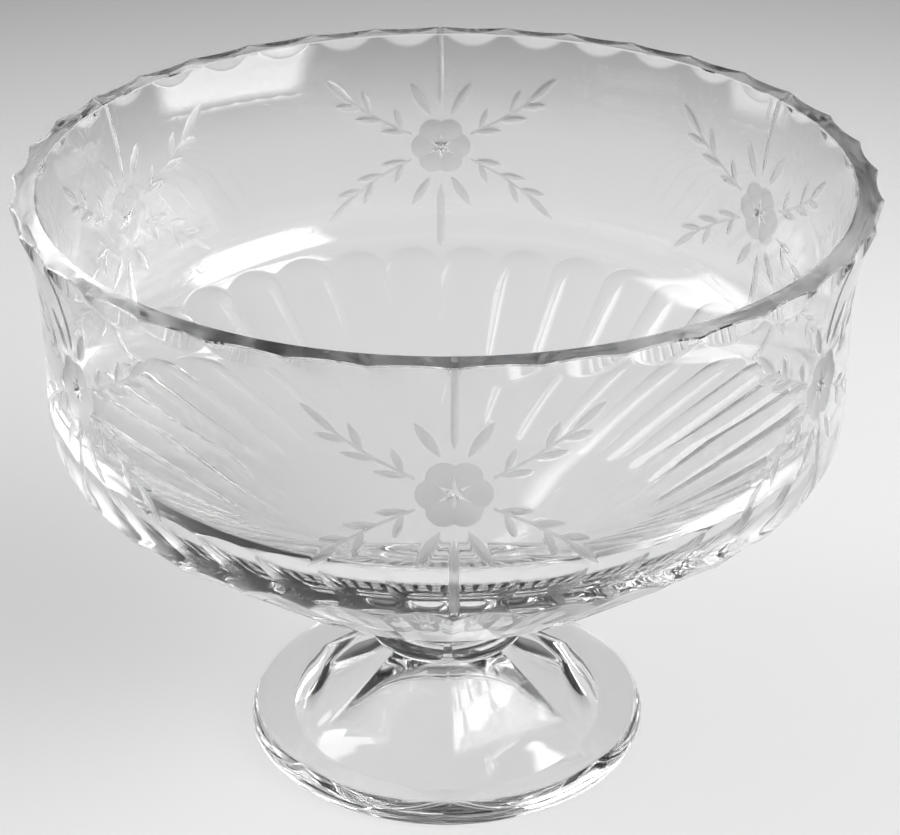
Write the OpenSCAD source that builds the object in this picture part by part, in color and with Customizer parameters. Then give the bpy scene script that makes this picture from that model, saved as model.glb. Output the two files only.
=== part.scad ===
// Footed cut-glass trifle bowl: a bowl, the wafer of glass that joins it, and a pressed pedestal foot.
// The origin is on the table under the axis, and a corner of the pedestal and a scallop point face -Y.

/* [Bowl] */
// Diameter of the rim over the scallop points
rim_d = 230; // [224:1:244]
// Height of the bowl from its seat on the wafer to the rim
bowl_h = 135.6; // [124:0.2:150]
// Outside diameter of the upright wall
wall_d = 218; // [212:1:222]
// Thickness of the upright wall
wall_t = 5; // [3.5:0.1:7]
// Thickness of the rim at the scallop points
rim_t = 7; // [5:0.1:9]
// Height of the flare that carries the wall out to the rim
flare_h = 32; // [20:1:40]
// Height of the knee above the seat, where the lines of wall and underside cross
knee_h = 65.4; // [60:0.2:72]
// Radius of the knee outside
knee_r = 18; // [10:0.5:24]
// Radius of the knee inside
inner_knee_r = 24; // [14:0.5:30]
// Slope of the fluted underside from level, in degrees
under_slope = 38.7; // [36:0.1:42]
// Slope of the inside above the floor, from level, in degrees
inner_slope = 36; // [33:0.1:38]
// Thickness of the underside at the knee, square to it
under_t = 9; // [6:0.1:11]
// Thickness of the floor over the seat
floor_t = 11; // [9:0.1:15]
// Diameter of the seat on the wafer
seat_d = 40; // [38:0.5:44]
// Radius of the hollow sweep from the seat to the underside
neck_r = 16; // [12:0.5:24]
// Slope of the sweep at the seat, in degrees
neck_slope = 55; // [48:1:62]

/* [Flutes and scallops] */
// Number of flutes round the underside, and of scallops round the rim
cuts = 36; // [24:6:48]
// Depth of a flute at the knee, below its two ridges
flute_depth = 1.2; // [0.9:0.05:2]
// Radius at which the ridges of the flutes start to fade towards the seat
fade_r = 66; // [62:0.5:72]
// Depth of a scallop below the circle through the scallop points
scallop_depth = 1.6; // [1.2:0.05:2.4]
// Stock that the cuts take off the ridges and the scallop points
stock = 0.3; // [0.2:0.05:0.6]

/* [Wafer] */
// Diameter of the wafer
wafer_d = 46; // [42:0.5:52]
// Thickness of the wafer
wafer_t = 6.4; // [4:0.1:8]

/* [Pedestal] */
// Number of flat panels round the stem
panels = 6; // [6:1:8]
// Height of the pedestal
pedestal_h = 30; // [28:0.5:36]
// Width of the top of the stem across its flats
stem_af = 27; // [24:0.5:30]
// Height of the upright top of the stem, down to where the lines of its ridges cross
stem_h = 1.75; // [1.5:0.25:3]
// Radius of the hollow between the upright top and the flare
waist_r = 2.5; // [1:0.25:2.5]
// Slope of the flare's ridges from level, in degrees
flare_slope = 36.5; // [34:0.5:40]
// Diameter of the foot
foot_d = 114.8; // [108:0.2:124]
// Distance from the axis at which the stem's ridges run out on the foot
run_out = 46; // [42:0.5:48]
// Angle at which the ridges meet the top of the foot, in degrees
run_out_angle = 3; // [2:0.5:6]
// Thickness of the foot where the ridges run out
run_out_t = 8; // [7:0.1:9.5]
// Slope of the top of the foot, in degrees
foot_slope = 9; // [5:0.5:12]
// Radius of the foot's upper edge
edge_r = 4.6; // [3.5:0.1:5]
// Diameter of the hollow under the foot, inside the resting ring
hollow_d = 88; // [80:1:92]
// Slope of the hollow's side from level, in degrees
hollow_slope = 30; // [27:0.5:33]
// Depth of the hollow under the stem
hollow_depth = 19; // [16:0.25:21]

/* [Hidden] */
$fn = 180;
glass = [0.86, 0.89, 0.9, 0.55];
over = 1;
arc_steps = 8;

// Bowl, with heights above its seat
rim_r = rim_d / 2;
wall_r = wall_d / 2;
seat_r = seat_d / 2;
step = 360 / cuts;
flare_start = bowl_h - flare_h;
stock_rim_r = rim_r + stock;
ridge_apex = knee_h - wall_r * tan(under_slope);
stock_drop = stock / cos(under_slope);
fade_at = [fade_r, ridge_apex - stock_drop + fade_r * tan(under_slope)];
neck_at = [seat_r, 0] + neck_r * [sin(neck_slope), -cos(neck_slope)];
neck_gap = fade_at - neck_at;
neck_turn = atan2(neck_gap[1], neck_gap[0]) + acos(neck_r / norm(neck_gap));
neck_join = neck_at + neck_r * [cos(neck_turn), sin(neck_turn)];

// Cavity
cavity_r = wall_r - wall_t;
mouth_r = rim_r - rim_t;
cavity_knee = ridge_apex + cavity_r * tan(under_slope) + under_t / cos(under_slope);
cavity_apex = cavity_knee - cavity_r * tan(inner_slope);
floor_r = (floor_t - cavity_apex) / (1 / cos(inner_slope) - 1);

// Flute wheel: through the bed of a flute and its two ridges at the knee, and less deep towards the seat
flute_half = wall_r * sin(step / 2);
flute_r = (pow(flute_half, 2) + pow(flute_depth, 2)) / (2 * flute_depth);
flute_length = (wall_r - fade_r) / cos(under_slope);
flute_in = 1.5 * flute_length;
bed_at = [wall_r, knee_h] + flute_depth * [-sin(under_slope), cos(under_slope)];
bed_slope = under_slope + atan(flute_depth * (1 - pow(fade_r / wall_r, 2)) / flute_length);

// Scallop wheel: through two scallop points and the bed between them
scallop_half = rim_r * sin(step / 2);
scallop_sag = scallop_depth - rim_r * (1 - cos(step / 2));
scallop_r = (pow(scallop_half, 2) + pow(scallop_sag, 2)) / (2 * scallop_sag);

// Pedestal
foot_r = foot_d / 2;
corner = 1 / cos(180 / panels);
edge_h = run_out_t - (foot_r - edge_r - run_out) * tan(foot_slope) - edge_r / cos(foot_slope);
edge_at = [foot_r - edge_r, edge_h];
hollow_r = hollow_d / 2;
hollow_curve = (hollow_r * tan(hollow_slope) - hollow_depth) / (1 / cos(hollow_slope) - 1);
lean = [sin(foot_slope), cos(foot_slope)];

// Ridge of the stem: upright, then a straight flare, then an arc that runs out on the top of the foot
stem_r = corner * stem_af / 2;
waist = [stem_r, pedestal_h - stem_h];
waist_tangent = waist_r * tan((90 - flare_slope) / 2);
waist_at = waist + [waist_r, waist_tangent];
run_out_slope = foot_slope + run_out_angle;
flare_fall = waist[1] - run_out_t - (run_out - stem_r) * tan(run_out_slope);
flare_end = flare_fall / (tan(flare_slope) - tan(run_out_slope));
sweep_tangent = (run_out - stem_r - flare_end) / cos(run_out_slope);
sweep_r = sweep_tangent / tan((flare_slope - run_out_slope) / 2);
sweep_at = [run_out, run_out_t] + sweep_r * [sin(run_out_slope), cos(run_out_slope)];

// Points along an arc
function arc_points(at, r, from, to) =
    [for (k = [0 : arc_steps])
        let (a = from + (to - from) * k / arc_steps) at + r * [cos(a), sin(a)]];

// Point on a line of the given slope through a knee point, a tangent length below the knee
function knee_foot(knee, slope, r) =
    knee - r * tan((90 - slope) / 2) * [cos(slope), sin(slope)];

// Point on the upright above a knee, a tangent length above it
function knee_head(knee, slope, r) = knee + [0, r * tan((90 - slope) / 2)];

// Radius of the arc that leaves an upright and gains some reach over a height
function flare_radius(reach, height) = (pow(reach, 2) + pow(height, 2)) / (2 * reach);

// Half outline of an upright wall on a sloping cone, rounded at the knee and flared at the top
module vessel_outline(r, knee_z, slope, bend, foot_points, reach, top) {
    knee = [r, knee_z];
    low = knee_foot(knee, slope, bend);
    high = knee_head(knee, slope, bend);
    flare = flare_radius(reach, flare_h);
    difference() {
        union() {
            polygon(concat(foot_points, [
                low,
                high,
                [r, flare_start],
                [r + reach, flare_start],
                [r + reach, top],
                [0, top]
            ]));
            translate([r - bend, high[1]])
                circle(bend);
        }
        translate([r + flare, flare_start])
            circle(flare);
    }
}

// Uncut outside of the bowl
module bowl_blank() {
    rotate_extrude()
        difference() {
            vessel_outline(wall_r, knee_h - stock_drop, under_slope, knee_r,
                [[0, 0], [seat_r, 0], neck_join, fade_at], stock_rim_r - wall_r, bowl_h);
            translate(neck_at)
                circle(neck_r);
        }
}

// Inside of the bowl, with a round floor on the axis
module cavity() {
    floor_join = floor_r * [sin(inner_slope), -cos(inner_slope)];
    floor_mid = floor_t + floor_r;
    rotate_extrude()
        intersection() {
            union() {
                vessel_outline(cavity_r, cavity_knee, inner_slope, inner_knee_r,
                    [[0, floor_mid], [floor_join[0], floor_mid + floor_join[1]]],
                    mouth_r - cavity_r, bowl_h + over);
                translate([0, floor_mid])
                    circle(floor_r);
            }
            square([rim_r, bowl_h + over]);
        }
}

// One flute's wheel, under the wall at +X
module flute_wheel() {
    translate([bed_at[0], 0, bed_at[1]])
        rotate([0, 90 - bed_slope, 0])
            translate([flute_r, 0, -flute_in])
                cylinder(h = flute_in + knee_r, r = flute_r);
}

// One scallop's wheel, outside the rim at +X
module scallop_wheel() {
    translate([rim_r - scallop_depth + scallop_r, 0, flare_start])
        cylinder(h = flare_h + over, r = scallop_r);
}

// A wheel at every second place, kept within a wedge so that it stays clear of the next in its set
module every_second(first) {
    wedge = 0.8 * step;
    near = seat_r * [1, tan(wedge)];
    far = (rim_r + over) * [1, tan(wedge)];
    for (i = [first : 2 : cuts - 1])
        rotate(-90 + (i + 0.5) * step)
            intersection() {
                children();
                translate([0, 0, ridge_apex])
                    linear_extrude(bowl_h - ridge_apex + over)
                        polygon([near, far, [far[0], -far[1]], [near[0], -near[1]]]);
            }
}

// Half outline of the round foot
module foot_outline() {
    polygon([
        [0, 0],
        [foot_r - edge_h, 0],
        [foot_r, edge_h],
        edge_at + edge_r * lean,
        [0, run_out_t + run_out * tan(foot_slope)]
    ]);
    translate([foot_r - edge_h, edge_h])
        circle(edge_h);
    intersection() {
        translate(edge_at)
            circle(edge_r);
        translate([0, edge_h])
            square([foot_r, edge_r]);
    }
}

// Half outline of the stem through its corners
module stem_outline() {
    polygon(concat(
        [[0, edge_h], [run_out, edge_h]],
        arc_points(sweep_at, sweep_r, 270 - run_out_slope, 270 - flare_slope),
        arc_points(waist_at, waist_r, 270 - flare_slope, 180),
        [[stem_r, pedestal_h], [0, pedestal_h]]
    ));
}

// Half outline of the hollow under the foot: a cone with a round top
module hollow_outline() {
    top_mid = hollow_depth - hollow_curve;
    join = [0, top_mid] + hollow_curve * [sin(hollow_slope), cos(hollow_slope)];
    intersection() {
        union() {
            polygon([[0, -over], [hollow_r, -over], [hollow_r, 0], join, [0, join[1]]]);
            translate([0, top_mid])
                circle(hollow_curve);
        }
        polygon([
            [0, -over],
            [hollow_r, -over],
            [hollow_r, 0],
            [0, hollow_r * tan(hollow_slope)]
        ]);
    }
}

// Cut-glass bowl: smooth inside, fluted underneath and scalloped at the rim
module bowl() {
    color(glass)
        translate([0, 0, pedestal_h + wafer_t])
            difference() {
                bowl_blank();
                cavity();
                every_second(0)
                    flute_wheel();
                every_second(1)
                    flute_wheel();
                every_second(0)
                    scallop_wheel();
                every_second(1)
                    scallop_wheel();
            }
}

// Wafer of hot glass between the stem and the bowl, with a round edge
module joining_wafer() {
    edge = wafer_t / 2;
    flat_r = wafer_d / 2 - edge;
    color(glass)
        translate([0, 0, pedestal_h])
            rotate_extrude() {
                square([flat_r, wafer_t]);
                translate([flat_r, edge])
                    circle(edge);
            }
}

// Pressed pedestal: a panelled stem that flares into a round foot
module pedestal_foot() {
    color(glass)
        difference() {
            union() {
                rotate_extrude()
                    intersection() {
                        foot_outline();
                        square([foot_r, pedestal_h]);
                    }
                rotate(-90)
                    rotate_extrude($fn = panels)
                        stem_outline();
            }
            rotate_extrude()
                hollow_outline();
        }
}

bowl();
joining_wafer();
pedestal_foot();
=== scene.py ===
import math

import bpy
import numpy as np
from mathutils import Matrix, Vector


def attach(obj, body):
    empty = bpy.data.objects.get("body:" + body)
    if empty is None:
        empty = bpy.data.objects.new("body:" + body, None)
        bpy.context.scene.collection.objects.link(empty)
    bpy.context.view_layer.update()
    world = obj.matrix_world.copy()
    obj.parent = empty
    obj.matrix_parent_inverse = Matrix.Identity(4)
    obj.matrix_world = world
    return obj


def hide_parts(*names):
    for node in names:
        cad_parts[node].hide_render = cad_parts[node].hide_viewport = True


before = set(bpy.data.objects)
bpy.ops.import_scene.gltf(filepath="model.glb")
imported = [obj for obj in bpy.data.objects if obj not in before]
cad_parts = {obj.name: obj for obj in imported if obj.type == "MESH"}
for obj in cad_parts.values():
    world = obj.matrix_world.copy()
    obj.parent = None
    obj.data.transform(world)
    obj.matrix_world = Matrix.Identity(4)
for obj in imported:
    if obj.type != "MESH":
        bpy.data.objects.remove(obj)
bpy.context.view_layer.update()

MM = 0.001
FULL_TURN, QUARTER_TURN = 2 * math.pi, math.pi / 2
FRONT = -QUARTER_TURN

# Bowl, in millimetres, as in the part's source
RIM_R, RIM_Z = 115.0, 172.0
MOUTH_R = 108.0
WALL_R, WALL_T = 109.0, 5.0
FLARE_H = 32.0
SEAT_R, SEAT_Z = 20.0, 36.4
KNEE_H, KNEE_R, INNER_KNEE_R = 65.4, 18.0, 24.0
UNDER_SLOPE, INNER_SLOPE = math.radians(38.7), math.radians(36.0)
UNDER_T, FLOOR_T = 9.0, 11.0
NECK_R, NECK_SLOPE = 16.0, math.radians(55.0)
CUTS, FLUTE_DEPTH, FADE_R = 36, 1.2, 66.0
SCALLOP_DEPTH, STOCK = 1.6, 0.3

# Wafer and pedestal, as in the part's source
WAFER_R, WAFER_Z = 23.0, 30.0
JOINT_R = WAFER_R - (SEAT_Z - WAFER_Z) / 2
STEM_AF, STEM_H, WAIST_R = 27.0, 1.75, 2.5
FLARE_SLOPE = math.radians(36.5)
PANELS = 6
FOOT_R, RUN_OUT, RUN_OUT_T = 57.4, 46.0, 8.0
FOOT_SLOPE, RUN_OUT_ANGLE = math.radians(9.0), math.radians(3.0)
EDGE_R = 4.6
HOLLOW_R, HOLLOW_DEPTH, HOLLOW_SLOPE = 44.0, 19.0, math.radians(30.0)

# Edges that only the scene softens: the rim, the corners of the stem, as a power that rounds them,
# and the blend of the stem into the foot, which starts below the wafer and is whole after a fall
RIM_BEVEL = 0.35
CORNER_POWER = 60
BLEND, BLEND_START, BLEND_FALL = 0.9, 4.0, 8.0
RUN_OUT_END, RUN_OUT_RINGS = RUN_OUT + 1.5, 8

# Engraved flowers: middle height, and the number round the wall
FLOWER_Z, FLOWERS = 136.0, 6
PETALS, PETAL_AT, PETAL_R, PETAL_DEPTH = 6, 5.0, 4.35, 0.4
HALF_PETAL = math.pi / PETALS
HEART_R = 4.0
STAR_R, STAR_HALF, STAR_DEPTH = 4.3, 0.85, 0.7
# Spikes above and below a flower: start, end and half width
TOP_SPIKE = (11.7, 37.0, 0.85)
LOW_SPIKE = (12.0, 34.5, 1.25)
SPIKE_TAPER, SPIKE_DEPTH = 0.25, 0.35
# Leaves of one quarter of a flower: base, tip and half width
LEAVES = [
    ((3.2, 10.0), (9.4, 20.0), 1.45),
    ((10.8, 4.6), (19.2, 5.6), 0.95),
    ((18.0, 8.7), (27.2, 10.0), 1.0),
    ((25.2, 13.2), (33.2, 14.6), 1.0),
    ((12.0, 5.4), (14.6, 12.2), 1.0),
    ((21.4, 10.4), (24.7, 18.6), 1.05),
    ((27.0, 14.6), (36.0, 23.0), 1.15),
]
LEAF_DEPTH = 0.3
# Stem of a spray of leaves, which is frosted and has no depth
SPRAY = [(9.6, 4.3), (18.5, 8.9), (26.2, 14.0), (31.0, 18.2)]
SPRAY_HALF = 0.42

# Points round the wall of the bowl, its underside, plain round forms, the foot and the floor
WALL_POINTS, UNDER_POINTS, ROUND_POINTS, FOOT_POINTS, FLOOR_POINTS = 1440, 720, 360, 540, 96
# How far the finer rings of the underside go on inside the circle where the flutes end
FLUTE_MARGIN = 12.0
# Angles in degrees from which an edge is shaded sharp
CUT_EDGE, PRESSED_EDGE = 24, 30
# Material slots of a face: clear glass, a fused joint and the ground rim, whose dark grey tone is painted
# shade
CLEAR, JOINT, PAINTED_SHADE_RIM = 0, 1, 2

# Glass: index of refraction, waves per metre, and the height of the waves in metres
GLASS_IOR = 1.53
WAVES, WAVE_DETAIL, WAVE_HEIGHT = 22.0, 1.0, 0.001
TINT = (0.0, 0.002, 0.003)
CLEAR_TONE, PRESSED_TONE = 0.92, 0.97
FROST_TONE, FROST_ROUGHNESS = 0.66, 0.4
# Half width of the frosting's soft edge, and how far it reaches into the wall, in millimetres
FROST_EDGE, FROST_REACH = 0.25, 2.5
# Streaks of the ground rim, in millimetres, and the ranges that they vary in; the rim's dark grey tone is
# painted shade for the dark room seen in it, streaked like the grinding
STREAK_WIDTH, STREAK_LENGTH, STREAK_DETAIL = 0.9, 16.0, 2.0
STREAK_NOISE = (0.3, 0.7)
RIM_ROUGHNESS, RIM_PAINTED_SHADE = (0.08, 0.24), (0.2, 0.62)

# Floor: size and height in millimetres, and its tone at distances from the axis in metres, which falls away
# from the bowl as a painted pool of light with painted shade far off
FLOOR_R, FLOOR_Z = 2600.0, -0.02
FLOOR_REACH, FLOOR_ROUGHNESS = 2.2, 0.9
FLOOR_PAINTED_LIGHT = [(0.25, 0.86), (0.95, 0.3), (2.1, 0.15)]

# World: its tone falls from the horizon upwards, between two heights of a ray of length 1
HORIZON, HORIZON_TONES = (0.05, 0.32), (0.28, 0.02)

# Lamps: the point that they face, in metres, and the share of their width that fades at an edge
LAMP_AIM, SOFT_EDGE = (0, 0, 0.1), 0.2

# Camera, fitted to the photograph's frame of 900 by 835 pixels, in metres and degrees
LENS, SENSOR, CLIP = 103.44, 36.0, (0.01, 50)
EYE, EYE_DROP, EYE_TURN = (-0.0103, -0.6354, 0.4378), 28.11, 0.084

# Bounces of light, enough for it to pass the walls of the bowl and the foot
BOUNCES, GLOSSY_BOUNCES = 32, 16


def arc(at, r, start, end, count):
    """Points of an arc round a middle, from one angle to another."""
    a = np.linspace(start, end, count)
    return np.stack([at[0] + r * np.cos(a), at[1] + r * np.sin(a)], 1)


def line(a, b, count):
    """Points of a straight line."""
    return np.linspace(a, b, count)


def joined(*pieces):
    """The pieces of an outline as one list of points, with the points where they meet kept once."""
    return np.concatenate([pieces[0], *(p[1:] for p in pieces[1:])])


def normals_of(profile):
    """Normals on the left of an outline."""
    d = np.gradient(profile, axis=0)
    d /= np.linalg.norm(d, axis=1, keepdims=True)
    return np.stack([-d[:, 1], d[:, 0]], 1)


def toward(angle):
    """Direction of length 1 at an angle."""
    return np.array([math.cos(angle), math.sin(angle)])


def turn_of(count):
    """Angles of points spaced evenly round the axis, from the front."""
    return FULL_TURN * np.arange(count) / count + FRONT


def flare_arc(r, reach, top, count):
    """Outline of a flare from its top down to the upright wall of radius r."""
    radius = (reach ** 2 + FLARE_H ** 2) / (2 * reach)
    low = RIM_Z - FLARE_H
    z = np.linspace(top, low, count)
    return np.stack([r + radius - np.sqrt(radius ** 2 - (z - low) ** 2), z], 1)


class Mesh:
    """Points and faces of one piece, in millimetres."""

    def __init__(self):
        self.points, self.faces, self.kinds, self.count = [], [], [], 0

    def ring(self, r, z, angles):
        """Adds a ring of points and returns their numbers."""
        r, z = np.broadcast_to(r, angles.shape), np.broadcast_to(z, angles.shape)
        self.points.append(np.stack([r * np.cos(angles), r * np.sin(angles), z], 1))
        numbers = np.arange(self.count, self.count + len(angles))
        self.count += len(angles)
        return numbers

    def add(self, faces, kind):
        """Adds faces of one material slot."""
        self.faces.append(faces)
        self.kinds.append(np.full(len(faces), kind))

    def strip(self, a, b, kind=CLEAR):
        """Joins ring a to ring b, which has as many points, or a whole fraction or multiple of them."""
        if len(a) == len(b):
            self.add(np.stack([a, b, np.roll(b, -1), np.roll(a, -1)], 1), kind)
            return
        fine, coarse = (a, b) if len(a) > len(b) else (b, a)
        k = len(fine) // len(coarse)
        fine_next, coarse_next = np.roll(fine, -1), np.roll(coarse, -1)
        fans = []
        for j in range(k):
            near = coarse if j < k // 2 else coarse_next
            fans.append(np.stack([fine[j::k], near, fine_next[j::k]], 1))
        fans.append(np.stack([fine[k // 2::k], coarse, coarse_next], 1))
        for fan in fans:
            self.add(fan if fine is a else fan[:, ::-1], kind)

    def skin(self, rings):
        """Joins each ring to the next."""
        for a, b in zip(rings, rings[1:]):
            self.strip(a, b)

    def cap(self, ring, z, kind=CLEAR, up=True):
        """Closes a ring with a fan round a middle point."""
        self.points.append(np.array([[0.0, 0.0, z]]))
        middle = np.full(len(ring), self.count)
        self.count += 1
        ring_next = np.roll(ring, -1)
        self.add(np.stack([ring, ring_next, middle] if up else [ring_next, ring, middle], 1), kind)

    def build(self, name, materials, sharp):
        """Makes the object, smooth but for edges that are sharper than an angle in degrees."""
        mesh = bpy.data.meshes.new(name)
        points = np.concatenate(self.points) * MM
        sizes = np.concatenate([np.full(len(f), f.shape[1]) for f in self.faces])
        loops = np.concatenate([f.ravel() for f in self.faces])
        starts = np.concatenate([[0], np.cumsum(sizes)[:-1]])
        mesh.vertices.add(len(points))
        mesh.vertices.foreach_set("co", points.astype(np.float32).ravel())
        mesh.loops.add(len(loops))
        mesh.loops.foreach_set("vertex_index", loops.astype(np.int32))
        mesh.polygons.add(len(sizes))
        mesh.polygons.foreach_set("loop_start", starts.astype(np.int32))
        mesh.polygons.foreach_set("material_index", np.concatenate(self.kinds).astype(np.int32))
        mesh.update(calc_edges=True)
        mesh.validate()
        for material in materials:
            mesh.materials.append(material)
        mesh.shade_smooth()
        mesh.set_sharp_from_angle(angle=math.radians(sharp))
        piece = bpy.data.objects.new(name, mesh)
        bpy.context.scene.collection.objects.link(piece)
        return piece


# Wheel cuts of the bowl, worked out as in the part's source
RIDGE_APEX = KNEE_H - WALL_R * math.tan(UNDER_SLOPE) + SEAT_Z
STOCK_DROP = STOCK / math.cos(UNDER_SLOPE)
STEP = FULL_TURN / CUTS
FLUTE_HALF = WALL_R * math.sin(STEP / 2)
FLUTE_R = (FLUTE_HALF ** 2 + FLUTE_DEPTH ** 2) / (2 * FLUTE_DEPTH)
FLUTE_LENGTH = (WALL_R - FADE_R) / math.cos(UNDER_SLOPE)
BED_SLOPE = UNDER_SLOPE + math.atan(FLUTE_DEPTH * (1 - (FADE_R / WALL_R) ** 2) / FLUTE_LENGTH)
SCALLOP_HALF = RIM_R * math.sin(STEP / 2)
SCALLOP_SAG = SCALLOP_DEPTH - RIM_R * (1 - math.cos(STEP / 2))
SCALLOP_R = (SCALLOP_HALF ** 2 + SCALLOP_SAG ** 2) / (2 * SCALLOP_SAG)


def way_out(a, b, c):
    """Distance out of a cut, to where a t^2 + b t + c falls to 0. It is 0 for a point outside the cut."""
    root = np.sqrt(np.maximum(b * b - 4 * a * c, 0))
    t = (-b - root) / (2 * a)
    return np.where(c > 0, np.maximum(t, 0), 0)


def flute_cut(r, z, nr, nz, phi):
    """Depth of the flutes along the normal, at an angle from the middle of a flute."""
    dx, dz = math.cos(BED_SLOPE), math.sin(BED_SLOPE)
    at_x = WALL_R - FLUTE_DEPTH * math.sin(UNDER_SLOPE) + FLUTE_R * dz
    at_z = SEAT_Z + KNEE_H + FLUTE_DEPTH * math.cos(UNDER_SLOPE) - FLUTE_R * dx
    qx, qy, qz = r * np.cos(phi) - at_x, r * np.sin(phi), z - at_z
    nx, ny = nr * np.cos(phi), nr * np.sin(phi)
    q_along, n_along = qx * dx + qz * dz, nx * dx + nz * dz
    a = n_along ** 2 - (nx ** 2 + ny ** 2 + nz ** 2)
    b = 2 * (q_along * n_along - (qx * nx + qy * ny + qz * nz))
    return way_out(a, b, FLUTE_R ** 2 - (qx ** 2 + qy ** 2 + qz ** 2 - q_along ** 2))


def scallop_reach(phi):
    """Distance from the axis to the scallops, at an angle from the middle of one."""
    at = RIM_R - SCALLOP_DEPTH + SCALLOP_R
    return at * np.cos(phi) - np.sqrt(SCALLOP_R ** 2 - (at * np.sin(phi)) ** 2)


def leaf_field(u, v, base, tip, half):
    """Distance inside a leaf with two pointed ends, in millimetres, and below 0 outside."""
    along = (tip[0] - base[0], tip[1] - base[1])
    length = math.hypot(*along)
    t = ((u - base[0]) * along[0] + (v - base[1]) * along[1]) / length ** 2
    aside = ((u - base[0]) * along[1] - (v - base[1]) * along[0]) / length
    return 4 * half * t * (1 - t) - np.abs(aside)


def groove(field, half, depth):
    """Depth of a rounded groove, by the distance inside its edge."""
    f = np.clip(field / half, 0, 1)
    return depth * f * (2 - f)


def flower_cut(angle, z):
    """Depth of the engraved flowers."""
    share = FULL_TURN / FLOWERS
    turn = (angle - FRONT + share / 2) % share - share / 2
    u, v = np.abs(turn) * WALL_R, z - FLOWER_Z
    w = np.abs(v)
    depth = np.zeros(np.broadcast(u, v).shape)
    for base, tip, half in LEAVES:
        depth = np.maximum(depth, groove(leaf_field(u, w, base, tip, half), half, LEAF_DEPTH))
    for (start, end, half), side in ((TOP_SPIKE, v), (LOW_SPIKE, -v)):
        field = np.minimum(half, (side - start) * SPIKE_TAPER) - u
        depth = np.maximum(depth, groove(field, half, SPIKE_DEPTH) * (side < end))
    rho, alpha = np.hypot(u, v), np.arctan2(w, u)
    petal = HALF_PETAL - np.abs(alpha % (2 * HALF_PETAL) - HALF_PETAL)
    dish = 1 - ((rho * np.cos(petal) - PETAL_AT) ** 2 + (rho * np.sin(petal)) ** 2) / PETAL_R ** 2
    heart = 1 - (rho / HEART_R) ** 2
    depth = np.maximum(depth, PETAL_DEPTH * np.maximum(dish, heart))
    star = STAR_HALF * (1 - rho / STAR_R) - rho * np.sin(HALF_PETAL - petal)
    return depth + STAR_DEPTH * np.clip(star / STAR_HALF, 0, 1)


def outer_profile():
    """Uncut outside of the bowl, from the rim round the knee, and from there down to the seat."""
    reach = RIM_R + STOCK - WALL_R
    knee = np.array([WALL_R, SEAT_Z + KNEE_H - STOCK_DROP])
    tangent = KNEE_R * math.tan((QUARTER_TURN - UNDER_SLOPE) / 2)
    head = knee + [0, tangent]
    low = knee - tangent * toward(UNDER_SLOPE)
    fade = np.array([FADE_R, RIDGE_APEX - STOCK_DROP + FADE_R * math.tan(UNDER_SLOPE)])
    neck_at = np.array([SEAT_R, SEAT_Z]) + NECK_R * toward(NECK_SLOPE - QUARTER_TURN)
    gap = fade - neck_at
    turn = math.atan2(gap[1], gap[0]) + math.acos(NECK_R / np.linalg.norm(gap))
    upper = joined(
        flare_arc(WALL_R, reach, RIM_Z - RIM_BEVEL, count=56),
        line((WALL_R, RIM_Z - FLARE_H), head, count=56),
        arc((WALL_R - KNEE_R, head[1]), KNEE_R, 0, UNDER_SLOPE - QUARTER_TURN, count=30),
    )
    lower = joined(
        line(low, fade, count=48),
        line(fade, neck_at + NECK_R * toward(turn), count=26),
        arc(neck_at, NECK_R, turn, QUARTER_TURN + NECK_SLOPE, count=16),
    )
    return upper, lower


def inner_profile():
    """Inside of the bowl from the rim down to the middle of the floor."""
    cavity_r = WALL_R - WALL_T
    knee_z = RIDGE_APEX + cavity_r * math.tan(UNDER_SLOPE) + UNDER_T / math.cos(UNDER_SLOPE)
    tangent = INNER_KNEE_R * math.tan((QUARTER_TURN - INNER_SLOPE) / 2)
    head_z = knee_z + tangent
    low = np.array([cavity_r, knee_z]) - tangent * toward(INNER_SLOPE)
    apex = knee_z - cavity_r * math.tan(INNER_SLOPE)
    floor_z = SEAT_Z + FLOOR_T
    floor_r = (floor_z - apex) / (1 / math.cos(INNER_SLOPE) - 1)
    floor = arc((0, floor_z + floor_r), floor_r, INNER_SLOPE - QUARTER_TURN, -QUARTER_TURN, count=18)
    return joined(
        flare_arc(cavity_r, MOUTH_R - cavity_r, RIM_Z - RIM_BEVEL, count=20),
        line((cavity_r, RIM_Z - FLARE_H), (cavity_r, head_z), count=16),
        arc((cavity_r - INNER_KNEE_R, head_z), INNER_KNEE_R, 0, INNER_SLOPE - QUARTER_TURN, count=20),
        line(low, floor[0], count=30),
        floor,
    )


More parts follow.
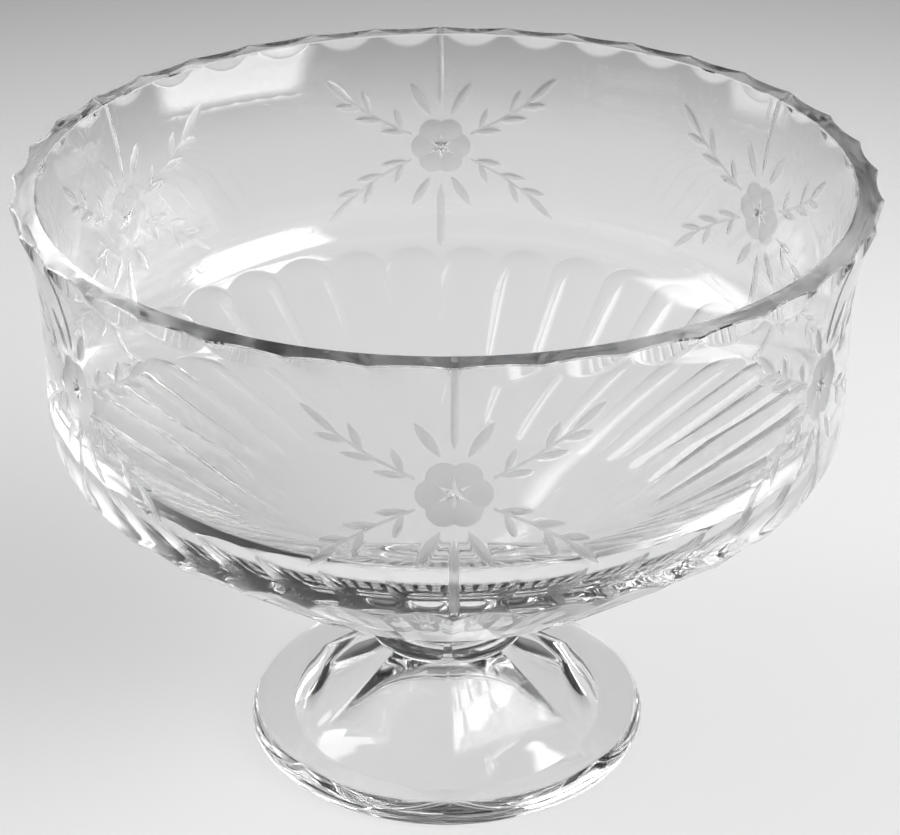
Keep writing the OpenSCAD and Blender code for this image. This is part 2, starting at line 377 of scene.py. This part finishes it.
def make_bowl(materials):
    """The bowl: fluted, scalloped and engraved outside, smooth inside."""
    m = Mesh()
    wall, under, smooth = (turn_of(count) for count in (WALL_POINTS, UNDER_POINTS, ROUND_POINTS))
    upper, lower = outer_profile()
    profile = np.concatenate([upper, lower[1:]])
    outside = []
    for k, (p, inward) in enumerate(zip(profile, -normals_of(profile))):
        on_wall = k < len(upper)
        below = under if p[0] > FADE_R - FLUTE_MARGIN else smooth
        angles = wall if on_wall else below
        phi = (angles - FRONT) % STEP - STEP / 2
        depth = flute_cut(*p, *inward, phi)
        if on_wall:
            depth = depth + flower_cut(angles, p[1])
        r = np.minimum(p[0], scallop_reach(phi))
        outside.append(m.ring(r + depth * inward[0], p[1] + depth * inward[1], angles))
    m.skin(outside)
    joint = m.ring(JOINT_R, SEAT_Z, smooth)
    m.strip(outside[-1], joint)
    m.cap(joint, SEAT_Z, kind=JOINT, up=False)
    rim_reach = np.hypot(*m.points[0][:, :2].T)
    top = m.ring(rim_reach - RIM_BEVEL, RIM_Z, wall)
    m.strip(top, outside[0])
    lip = m.ring(MOUTH_R + RIM_BEVEL, RIM_Z, smooth)
    # The flat top of the rim, in the ground rim glass whose dark grey tone is painted shade
    m.strip(lip, top, kind=PAINTED_SHADE_RIM)
    *sides, middle = inner_profile()
    inside = [lip] + [m.ring(*p, smooth) for p in sides]
    m.skin(inside[::-1])
    m.cap(inside[-1], middle[1])
    return m.build("glass_bowl", materials, CUT_EDGE)


def panel_reach(angles):
    """Reach of the panels with slightly rounded corners, where the flats are 1 from the middle."""
    total = np.zeros(len(angles))
    for k in range(PANELS):
        flat = FRONT + (k + 0.5) * FULL_TURN / PANELS
        total += np.maximum(np.cos(angles - flat), 0) ** CORNER_POWER
    return total ** (-1 / CORNER_POWER)


def make_wafer(materials):
    """The wafer of glass between the stem and the bowl."""
    m = Mesh()
    angles = turn_of(ROUND_POINTS)
    edge = (SEAT_Z - WAFER_Z) / 2
    outline = arc((WAFER_R - edge, WAFER_Z + edge), edge, QUARTER_TURN, -QUARTER_TURN, count=14)
    rings = [m.ring(*p, angles) for p in outline]
    m.skin(rings)
    m.cap(rings[0], SEAT_Z, kind=JOINT)
    joint = m.ring(STEM_AF / 2 * panel_reach(angles), WAFER_Z, angles)
    m.strip(rings[-1], joint)
    m.cap(joint, WAFER_Z, kind=JOINT, up=False)
    return m.build("glass_wafer", materials, PRESSED_EDGE)


def stem_profile():
    """Outline of the stem through the middle of a flat, from the top down to where it runs out."""
    corner = 1 / math.cos(math.pi / PANELS)
    stem_r = corner * STEM_AF / 2
    waist = np.array([stem_r, WAFER_Z - STEM_H])
    waist_at = waist + [WAIST_R, WAIST_R * math.tan((QUARTER_TURN - FLARE_SLOPE) / 2)]
    slope = FOOT_SLOPE + RUN_OUT_ANGLE
    fall = waist[1] - RUN_OUT_T - (RUN_OUT - stem_r) * math.tan(slope)
    flare_end = fall / (math.tan(FLARE_SLOPE) - math.tan(slope))
    tangent = (RUN_OUT - stem_r - flare_end) / math.cos(slope)
    sweep_r = tangent / math.tan((FLARE_SLOPE - slope) / 2)
    sweep_at = np.array([RUN_OUT, RUN_OUT_T]) + sweep_r * toward(QUARTER_TURN - slope)
    low = math.pi + QUARTER_TURN
    hollow = arc(waist_at, WAIST_R, math.pi, low - FLARE_SLOPE, count=10)
    sweep = arc(sweep_at, sweep_r, low - FLARE_SLOPE, low - slope, count=24)
    corners = joined(
        line((stem_r, WAFER_Z), hollow[0], count=3),
        hollow,
        line(hollow[-1], sweep[0], count=30),
        sweep,
    )
    return corners / [corner, 1]


def foot_top(r):
    """Height of the sloping top of the foot."""
    return RUN_OUT_T + (RUN_OUT - r) * math.tan(FOOT_SLOPE)


def foot_profile():
    """Outline of the foot from where the stem has run out, round the edge, to the top of the hollow."""
    edge_r = FOOT_R - EDGE_R
    edge_h = foot_top(edge_r) - EDGE_R / math.cos(FOOT_SLOPE)
    edge = np.array([edge_r, edge_h])
    edge_top = edge + EDGE_R * toward(QUARTER_TURN - FOOT_SLOPE)
    ring_r = FOOT_R - edge_h
    curve = (HOLLOW_R * math.tan(HOLLOW_SLOPE) - HOLLOW_DEPTH) / (1 / math.cos(HOLLOW_SLOPE) - 1)
    dome = arc((0, HOLLOW_DEPTH - curve), curve, QUARTER_TURN - HOLLOW_SLOPE, QUARTER_TURN, count=24)
    return joined(
        line((RUN_OUT_END, foot_top(RUN_OUT_END)), edge_top, count=5),
        arc(edge, EDGE_R, QUARTER_TURN - FOOT_SLOPE, 0, count=16),
        arc((ring_r, edge_h), edge_h, 0, -QUARTER_TURN, count=10),
        line((ring_r, 0), (HOLLOW_R, 0), count=5),
        line((HOLLOW_R, 0), dome[0], count=20),
        dome,
    )


def make_foot(materials):
    """The pressed pedestal: a panelled stem that flares into a round foot."""
    m = Mesh()
    angles = turn_of(FOOT_POINTS)
    reach = panel_reach(angles)
    rings = []
    for flat_r, z in stem_profile():
        r = flat_r * reach
        over = z - foot_top(r)
        # Up to a smooth maximum of the stem's height and the foot's
        lift = 0.5 * (over + np.sqrt(over ** 2 + BLEND ** 2)) - over
        share = np.clip((WAFER_Z - BLEND_START - z) / BLEND_FALL, 0, 1)
        rings.append(m.ring(r, z + lift * share, angles))
    stem_end = m.points[-1]
    start_r = np.hypot(stem_end[:, 0], stem_end[:, 1])
    start_over = stem_end[:, 2] - foot_top(start_r)
    for t in np.linspace(0, 1, RUN_OUT_RINGS)[1:]:
        r = start_r + (RUN_OUT_END - start_r) * t
        rings.append(m.ring(r, foot_top(r) + start_over * (1 - t) ** 2, angles))
    for p in foot_profile()[1:-1]:
        rings.append(m.ring(*p, angles))
    m.skin(rings)
    m.cap(rings[-1], HOLLOW_DEPTH, up=False)
    m.cap(rings[0], WAFER_Z, kind=JOINT)
    return m.build("glass_foot", materials, PRESSED_EDGE)


class Nodes:
    """A node tree, with short ways to add to it."""

    def __init__(self, tree):
        self.tree = tree

    def add(self, kind, **settings):
        node = self.tree.nodes.new(kind)
        for key, value in settings.items():
            setattr(node, key, value)
        return node

    def link(self, source, target):
        self.tree.links.new(source, target)

    def math(self, operation, *values):
        """A sum in one node, of numbers and of other nodes' outputs."""
        node = self.add("ShaderNodeMath", operation=operation)
        for socket, value in zip(node.inputs, values):
            if isinstance(value, (int, float)):
                socket.default_value = value
            else:
                self.link(value, socket)
        return node.outputs[0]

    def most(self, values):
        """The largest of several values."""
        largest = values[0]
        for value in values[1:]:
            largest = self.math("MAXIMUM", largest, value)
        return largest

    def length(self, a, b):
        """The length of a step of a one way and b the other."""
        return self.math("SQRT", self.math("ADD", self.math("MULTIPLY", a, a), self.math("MULTIPLY", b, b)))

    def split(self, vector):
        """The three parts of a vector."""
        node = self.add("ShaderNodeSeparateXYZ")
        self.link(vector, node.inputs[0])
        return node.outputs

    def ranged(self, value, start, end, smooth=False):
        """Takes the range start to the range end, and stops at its ends."""
        node = self.add("ShaderNodeMapRange", interpolation_type="SMOOTHSTEP" if smooth else "LINEAR")
        self.link(value, node.inputs["Value"])
        for name, limit in zip(("From Min", "From Max", "To Min", "To Max"), (*start, *end)):
            node.inputs[name].default_value = limit
        return node.outputs["Result"]

    def noise(self, place, scale, detail):
        """Noise at a place."""
        node = self.add("ShaderNodeTexNoise")
        node.inputs["Scale"].default_value = scale
        node.inputs["Detail"].default_value = detail
        self.link(place, node.inputs["Vector"])
        return node.outputs[0]

    def place(self):
        """The place of a point in the shared frame, in metres."""
        return self.add("ShaderNodeTexCoord").outputs["Object"]


def new_material(name):
    """A material with an output node alone. Returns the material, its nodes and that node's socket."""
    material = bpy.data.materials.new(name)
    material.use_nodes = True
    material.node_tree.nodes.clear()
    n = Nodes(material.node_tree)
    return material, n, n.add("ShaderNodeOutputMaterial").inputs["Surface"]


def beside_line(n, u, v, base, tip):
    """Distances along the line from base to tip and aside from it, in nodes, and the line's length."""
    du, dv = tip[0] - base[0], tip[1] - base[1]
    length = math.hypot(du, dv)
    a, b = n.math("SUBTRACT", u, base[0]), n.math("SUBTRACT", v, base[1])
    along = n.math("ADD", n.math("MULTIPLY", a, du / length), n.math("MULTIPLY", b, dv / length))
    aside = n.math("SUBTRACT", n.math("MULTIPLY", a, dv / length), n.math("MULTIPLY", b, du / length))
    return along, aside, length


def leaf_nodes(n, u, v, base, tip, half):
    """The distance inside a leaf, as in leaf_field."""
    along, aside, length = beside_line(n, u, v, base, tip)
    bulge = n.math("MULTIPLY", along, n.math("SUBTRACT", length, along))
    return n.math("SUBTRACT", n.math("MULTIPLY", bulge, 4 * half / length ** 2), n.math("ABSOLUTE", aside))


def spray_nodes(n, u, v, base, tip):
    """The distance inside one stretch of a spray's stem."""
    along, aside, length = beside_line(n, u, v, base, tip)
    from_middle = n.math("ABSOLUTE", n.math("SUBTRACT", along, length / 2))
    beyond = n.math("MAXIMUM", n.math("SUBTRACT", from_middle, length / 2), 0.0)
    return n.math("SUBTRACT", SPRAY_HALF, n.length(aside, beyond))


def spike_nodes(n, u, side, start, end, half):
    """The distance inside a spike."""
    taper = n.math("MULTIPLY", n.math("SUBTRACT", side, start), SPIKE_TAPER)
    wide = n.math("MINIMUM", taper, half)
    return n.math("SUBTRACT", n.math("MINIMUM", wide, n.math("SUBTRACT", end, side)), u)


def flower_mask(n):
    """A mask in nodes: 1 on the ground cuts of the flowers, and 0 on their polished stars and elsewhere."""
    x, y, z = n.split(n.place())
    share = math.pi / FLOWERS
    fold = n.math("PINGPONG", n.math("ADD", n.math("ARCTAN2", y, x), FULL_TURN), share)
    u = n.math("MULTIPLY", n.math("SUBTRACT", share, fold), WALL_R)
    v = n.math("MULTIPLY_ADD", z, 1 / MM, -FLOWER_Z)
    w = n.math("ABSOLUTE", v)
    fields = [leaf_nodes(n, u, w, *leaf) for leaf in LEAVES]
    fields += [spray_nodes(n, u, w, *ends) for ends in zip(SPRAY, SPRAY[1:])]
    for spike, side in ((TOP_SPIKE, v), (LOW_SPIKE, n.math("MULTIPLY", v, -1.0))):
        fields.append(spike_nodes(n, u, side, *spike))
    rho = n.length(u, v)
    petal = n.math("PINGPONG", n.math("ARCTAN2", w, u), HALF_PETAL)
    petal_u = n.math("SUBTRACT", n.math("MULTIPLY", rho, n.math("COSINE", petal)), PETAL_AT)
    petal_v = n.math("MULTIPLY", rho, n.math("SINE", petal))
    fields.append(n.math("SUBTRACT", PETAL_R, n.length(petal_u, petal_v)))
    fields.append(n.math("SUBTRACT", HEART_R, rho))
    arm = n.math("MULTIPLY", rho, n.math("SINE", n.math("SUBTRACT", HALF_PETAL, petal)))
    star = n.math("SUBTRACT", n.math("MULTIPLY_ADD", rho, -STAR_HALF / STAR_R, STAR_HALF), arm)
    edge = (-FROST_EDGE, FROST_EDGE)
    polished = n.ranged(star, edge, (0, 1), smooth=True)
    ground = n.ranged(n.most(fields), edge, (0, 1), smooth=True)
    outside = n.math("GREATER_THAN", n.length(x, y), (WALL_R - FROST_REACH) * MM)
    return n.math("MULTIPLY", n.math("MULTIPLY", ground, n.math("SUBTRACT", 1.0, polished)), outside)


def rim_streaks(n):
    """Noise drawn out along the rim, as the wheel leaves it on a ground edge; it streaks the rim's
    roughness and its painted shade.
    """
    x, y, _ = n.split(n.place())
    place = n.add("ShaderNodeCombineXYZ")
    n.link(n.math("MULTIPLY", n.length(x, y), 1 / (STREAK_WIDTH * MM)), place.inputs[0])
    n.link(n.math("MULTIPLY", n.math("ARCTAN2", y, x), RIM_R / STREAK_LENGTH), place.inputs[1])
    return n.noise(place.outputs[0], scale=1.0, detail=STREAK_DETAIL)


def glass(name, shadow, tone=CLEAR_TONE):
    """Clear glass that lets a share of the light into its shadow. Returns its nodes and shader too."""
    material, n, surface = new_material(name)
    shader = n.add("ShaderNodeBsdfPrincipled")
    shader.inputs["Base Color"].default_value = (*(tone + t for t in TINT), 1)
    shader.inputs["Transmission Weight"].default_value = 1.0
    shader.inputs["IOR"].default_value = GLASS_IOR
    shader.inputs["Roughness"].default_value = 0.0
    through = n.add("ShaderNodeBsdfTransparent")
    through.inputs["Color"].default_value = (shadow, shadow, shadow, 1)
    mix = n.add("ShaderNodeMixShader")
    n.link(n.add("ShaderNodeLightPath").outputs["Is Shadow Ray"], mix.inputs[0])
    n.link(shader.outputs[0], mix.inputs[1])
    n.link(through.outputs[0], mix.inputs[2])
    n.link(mix.outputs[0], surface)
    return material, n, shader


def add_waves(n, shader, strength):
    """The faint waves of pressed or blown glass."""
    bump = n.add("ShaderNodeBump")
    bump.inputs["Strength"].default_value = strength
    bump.inputs["Distance"].default_value = WAVE_HEIGHT
    n.link(n.noise(n.place(), WAVES, WAVE_DETAIL), bump.inputs["Height"])
    n.link(bump.outputs[0], shader.inputs["Normal"])


def cut_glass():
    """The glass of the bowl, with ground flowers."""
    material, n, shader = glass("cut_glass", shadow=0.86)
    add_waves(n, shader, strength=0.05)
    mask = flower_mask(n)
    n.link(n.math("MULTIPLY", mask, FROST_ROUGHNESS), shader.inputs["Roughness"])
    n.link(n.ranged(mask, (0, 1), (CLEAR_TONE, FROST_TONE)), shader.inputs["Base Color"])
    return material


def pressed_glass():
    """The glass of the wafer and the foot."""
    material, n, shader = glass("pressed_glass", shadow=0.98, tone=PRESSED_TONE)
    add_waves(n, shader, strength=0.2)
    return material


def ground_rim_painted_shade():
    """The flat of the rim, ground and half polished, with a streaked dark grey tone that is painted shade.
    """
    material, n, shader = glass("ground_rim_painted_shade", shadow=0.87)
    streaks = rim_streaks(n)
    n.link(n.ranged(streaks, STREAK_NOISE, RIM_ROUGHNESS), shader.inputs["Roughness"])
    # Painted shade: the base colour darkens in streaks, standing in for the dark room seen in the rim
    n.link(n.ranged(streaks, STREAK_NOISE, RIM_PAINTED_SHADE), shader.inputs["Base Color"])
    return material


def fused_joint():
    """The faces where two pieces are melted into one another, which can't be seen."""
    material, n, surface = new_material("fused_joint")
    n.link(n.add("ShaderNodeBsdfTransparent").outputs[0], surface)
    return material


def painted_light_floor():
    """A dull floor, whose tone falls with the distance from the axis: a painted pool of light round the
    bowl, with painted shade far off.
    """
    material, n, surface = new_material("painted_light_floor")
    shader = n.add("ShaderNodeBsdfPrincipled")
    shader.inputs["Roughness"].default_value = FLOOR_ROUGHNESS
    shader.inputs["Specular IOR Level"].default_value = 0.0
    away = n.add("ShaderNodeVectorMath", operation="LENGTH")
    n.link(n.place(), away.inputs[0])
    # Painted light: the tone ramp makes a bright pool round the bowl that darkens far off
    fall = n.add("ShaderNodeValToRGB")
    n.link(n.math("DIVIDE", away.outputs["Value"], FLOOR_REACH), fall.inputs["Fac"])
    ramp = fall.color_ramp
    ramp.interpolation = "EASE"
    while len(ramp.elements) < len(FLOOR_PAINTED_LIGHT):
        ramp.elements.new(1.0)
    for stop, (distance, tone) in zip(ramp.elements, FLOOR_PAINTED_LIGHT):
        stop.position = distance / FLOOR_REACH
        stop.color = (tone, tone, tone, 1)
    n.link(fall.outputs["Color"], shader.inputs["Base Color"])
    n.link(shader.outputs[0], surface)
    return material


def make_floor():
    """The floor, a hair below the foot."""
    m = Mesh()
    m.cap(m.ring(FLOOR_R, FLOOR_Z, turn_of(FLOOR_POINTS)), FLOOR_Z)
    return m.build("floor", [painted_light_floor()], PRESSED_EDGE)


def make_world():
    """A dark studio over a soft grey horizon."""
    world = bpy.data.worlds.new("studio")
    bpy.context.scene.world = world
    world.use_nodes = True
    n = Nodes(world.node_tree)
    _, _, rise = n.split(n.add("ShaderNodeTexCoord").outputs["Generated"])
    n.link(n.ranged(rise, HORIZON, HORIZON_TONES, smooth=True), n.tree.nodes["Background"].inputs["Color"])


def softbox(name, place, size, watts):
    """A lamp with soft edges that faces the bowl."""
    lamp = bpy.data.lights.new(name, "AREA")
    lamp.shape = "RECTANGLE"
    lamp.size, lamp.size_y = size
    lamp.energy = watts
    lamp.use_nodes = True
    n = Nodes(lamp.node_tree)
    across, up, _ = n.split(n.add("ShaderNodeNewGeometry").outputs["Parametric"])
    fades = []
    for way in (across, up):
        from_edge = n.math("PINGPONG", way, 0.5)
        fades.append(n.ranged(from_edge, (0, SOFT_EDGE), (0, 1), smooth=True))
    n.link(n.math("MULTIPLY", *fades), n.tree.nodes["Emission"].inputs["Strength"])
    box = bpy.data.objects.new(name, lamp)
    bpy.context.scene.collection.objects.link(box)
    box.location = place
    box.visible_camera = False
    aim = Vector(LAMP_AIM) - Vector(place)
    box.rotation_euler = aim.to_track_quat("-Z", "Y").to_euler()


def make_camera():
    """The camera, at the photograph's angle."""
    camera = bpy.data.cameras.new("camera")
    camera.lens, camera.sensor_width = LENS, SENSOR
    camera.clip_start, camera.clip_end = CLIP
    eye = bpy.data.objects.new("camera", camera)
    bpy.context.scene.collection.objects.link(eye)
    eye.location = EYE
    yaw = -math.atan2(-EYE[0], -EYE[1]) - math.radians(EYE_TURN)
    eye.rotation_euler = (math.radians(90 - EYE_DROP), 0, yaw)
    bpy.context.scene.camera = eye


def set_rendering(scene):
    """Plain colours, and rays that go on through all the glass."""
    scene.view_settings.view_transform = "Standard"
    scene.cycles.caustics_reflective = False
    scene.cycles.caustics_refractive = False
    scene.cycles.max_bounces = BOUNCES
    scene.cycles.transmission_bounces = BOUNCES
    scene.cycles.transparent_max_bounces = BOUNCES
    scene.cycles.glossy_bounces = GLOSSY_BOUNCES


joint_face = fused_joint()
foot_glass = pressed_glass()
pieces = [
    (make_bowl([cut_glass(), joint_face, ground_rim_painted_shade()]), "bowl"),
    (make_wafer([foot_glass, joint_face]), "joining_wafer"),
    (make_foot([foot_glass, joint_face]), "pedestal_foot"),
]
for piece, node in pieces:
    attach(piece, "root")
    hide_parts(node)
floor = make_floor()

make_world()
softbox("right_softbox", place=(2.54, -1.13, 1.22), size=(3.00, 1.90), watts=274)
softbox("left_softbox", place=(-2.52, 0.58, 1.62), size=(1.50, 2.86), watts=86)
make_camera()
set_rendering(bpy.context.scene)
